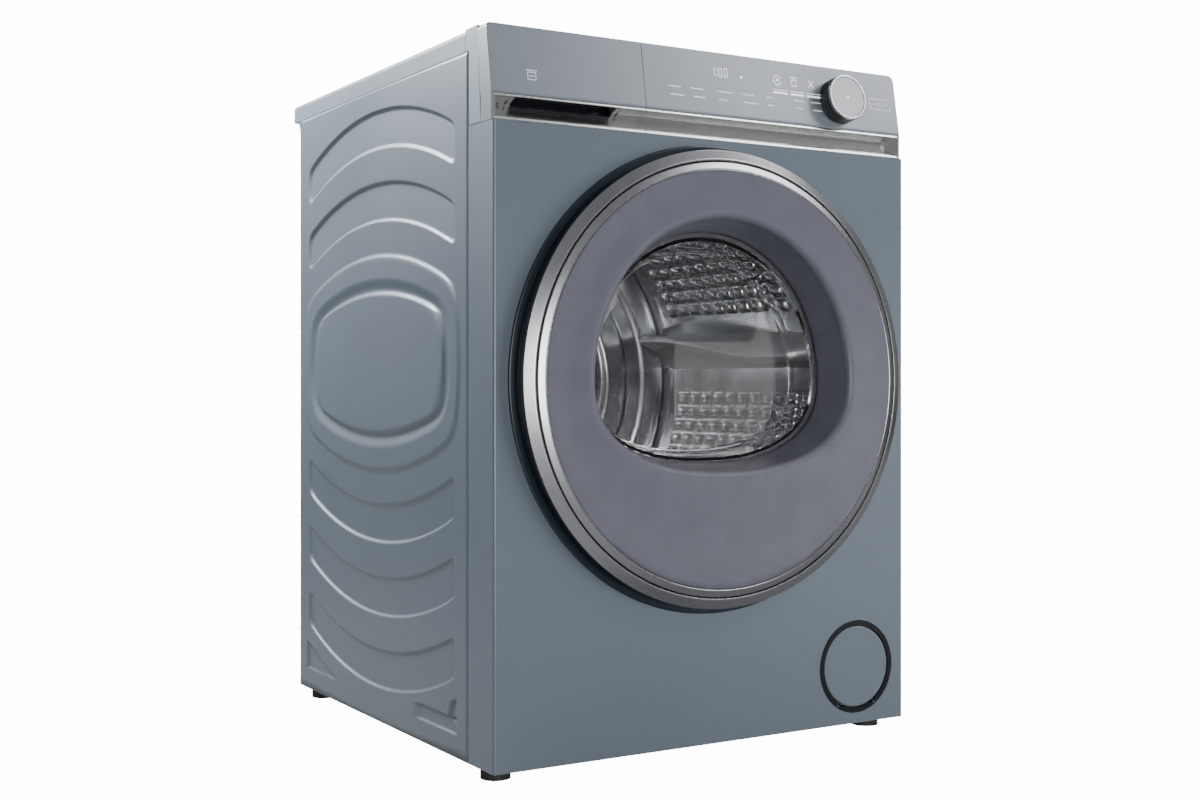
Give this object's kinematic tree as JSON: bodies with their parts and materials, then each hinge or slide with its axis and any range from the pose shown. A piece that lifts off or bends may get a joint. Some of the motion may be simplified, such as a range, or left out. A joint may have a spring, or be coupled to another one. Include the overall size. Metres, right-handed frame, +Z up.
{
  "type": "clothes dryer",
  "caption": "Free-standing front-loading clothes dryer with a round glazed door, a turning drum, a pull-out water tank, a dial and a round service flap.",
  "frame": {"origin": "on the floor, under the middle of the whole machine's box", "axes": "+Z up, +X to the right of a user who faces the door, +Y from the door to the back"},
  "size_m": [0.6, 0.665, 0.85],
  "materials": {
    "body_paint": "satin slate paint",
    "fascia_plastic": "satin slate lacquer",
    "worktop_plastic": "satin slate",
    "smoky_cover": "smoky grey-purple gloss",
    "silver_trim": "satin chrome",
    "black_plastic": "black moulded",
    "navy_plastic": "dark navy moulded",
    "clear_glass": "clear",
    "stainless": "satin stainless",
    "zinc_steel": "zinc coated sheet",
    "grey_plastic": "moulded grey",
    "white_plastic": "moulded white",
    "dark_plastic": "moulded dark grey",
    "rubber_seal": "soft black rubber",
    "felt": "pressed felt",
    "motor_paint": "satin black",
    "aluminium_fins": "plain fins",
    "board_green": "coated board",
    "belt_rubber": "ribbed belt"
  },
  "bodies": {
    "root": {"left_side_panel": "body_paint", "right_side_panel": "body_paint", "front_panel": "body_paint", "rear_panel": "zinc_steel", "rear_duct_cover": "zinc_steel", "worktop": "worktop_plastic", "fascia": "fascia_plastic", "fascia_frame": "fascia_plastic", "fascia_trim": "silver_trim", "control_board": "board_green", "base_tray": "dark_plastic", "front_bulkhead": "grey_plastic", "rear_bulkhead": "zinc_steel", "door_surround": "navy_plastic", "door_seal": "rubber_seal", "door_catch": "black_plastic", "hinge_bracket": "zinc_steel", "hinge_pin": "stainless", "drum_felt": "felt", "rear_bearing": "stainless", "motor_housing": "motor_paint", "drive_belt": "belt_rubber", "air_tunnel": "grey_plastic", "compressor": "motor_paint", "evaporator": "aluminium_fins", "condenser": "aluminium_fins", "condensate_pump": "black_plastic", "condensate_hose": "rubber_seal", "lint_filter": "white_plastic", "tank_housing": "grey_plastic", "mains_inlet": "black_plastic", "drain_spigot": "grey_plastic", "service_ring": "black_plastic", "rear_screws": "stainless"},
    "door": {"door_ring": "silver_trim", "door_skirt": "black_plastic", "door_bevel": "silver_trim", "door_cover": "smoky_cover", "door_glass": "clear_glass", "door_inner_frame": "dark_plastic", "door_hinge_leaf": "zinc_steel"},
    "drum": {"drum_shell": "stainless", "drum_back": "stainless", "drum_lifters": "stainless"},
    "motor_rotor": {"motor_shaft": "stainless", "fan_impeller": "black_plastic"},
    "idler_arm": {"idler_arm": "zinc_steel"},
    "idler_wheel": {"idler_wheel": "black_plastic"},
    "dial_shaft": {"dial_shaft": "zinc_steel"},
    "dial": {"dial_knob": "fascia_plastic"},
    "tank_drawer": {"tank_front": "fascia_plastic", "tank_trim": "silver_trim", "water_tank": "white_plastic", "tank_lid": "grey_plastic"},
    "service_flap": {"service_flap": "body_paint"},
    "filter_plug": {"filter_plug": "white_plastic"},
    "foot_front_left": {"foot_front_left": "rubber_seal"},
    "foot_front_right": {"foot_front_right": "rubber_seal"},
    "foot_rear_left": {"foot_rear_left": "rubber_seal"},
    "foot_rear_right": {"foot_rear_right": "rubber_seal"}
  },
  "joints": [
    {"name": "door_hinge", "type": "hinge", "parent": "root", "child": "door", "pos_m": [0.2625, -0.3175, 0.4515], "axis": [0, 0, 1], "range_deg": [0, 140]},
    {"name": "drum_spin", "type": "hinge", "parent": "root", "child": "drum", "pos_m": [0, -0.0015, 0.4515], "axis": [0, 1, 0], "continuous": true},
    {"name": "rotor_spin", "type": "hinge", "parent": "root", "child": "motor_rotor", "pos_m": [-0.11, 0.0985, 0.093], "axis": [0, 1, 0], "continuous": true},
    {"name": "idler_arm_pivot", "type": "hinge", "parent": "root", "child": "idler_arm", "pos_m": [-0.096, 0.0105, 0.057], "axis": [0, 1, 0], "range_deg": [0, 15], "stiffness_Nm_per_rad": 4, "springref_deg": -17.19},
    {"name": "idler_wheel_spin", "type": "hinge", "parent": "idler_arm", "child": "idler_wheel", "pos_m": [-0.07, -0.0015, 0.101], "axis": [0, 1, 0], "continuous": true},
    {"name": "dial_push", "type": "slide", "parent": "root", "child": "dial_shaft", "axis": [0, 0.9864, -0.1642], "range_m": [0, 0.0015], "stiffness_N_per_m": 1500, "springref_m": -0.001},
    {"name": "dial_turn", "type": "hinge", "parent": "dial_shaft", "child": "dial", "pos_m": [0.1983, -0.29004, 0.8047], "axis": [0, -0.9864, 0.1642], "continuous": true},
    {"name": "tank_slide", "type": "slide", "parent": "root", "child": "tank_drawer", "axis": [0, -1, 0], "range_m": [0, 0.4]},
    {"name": "flap_hinge", "type": "hinge", "parent": "root", "child": "service_flap", "pos_m": [0.2196, -0.2995, 0.0422], "axis": [1, 0, 0], "range_deg": [0, 100]},
    {"name": "filter_turn", "type": "hinge", "parent": "root", "child": "filter_plug", "pos_m": [0.2196, -0.2835, 0.0872], "axis": [0, 1, 0], "range_deg": [0, 90]},
    {"name": "foot_front_left_screw", "type": "slide", "parent": "root", "child": "foot_front_left", "axis": [0, 0, -1], "range_m": [0, 0.015]},
    {"name": "foot_front_right_screw", "type": "slide", "parent": "root", "child": "foot_front_right", "axis": [0, 0, -1], "range_m": [0, 0.015]},
    {"name": "foot_rear_left_screw", "type": "slide", "parent": "root", "child": "foot_rear_left", "axis": [0, 0, -1], "range_m": [0, 0.015]},
    {"name": "foot_rear_right_screw", "type": "slide", "parent": "root", "child": "foot_rear_right", "axis": [0, 0, -1], "range_m": [0, 0.015]}
  ],
  "couplings": [
    {"joint": "rotor_spin", "follows": "drum_spin", "ratio": 24.29},
    {"joint": "idler_wheel_spin", "follows": "drum_spin", "ratio": -18.042}
  ]
}
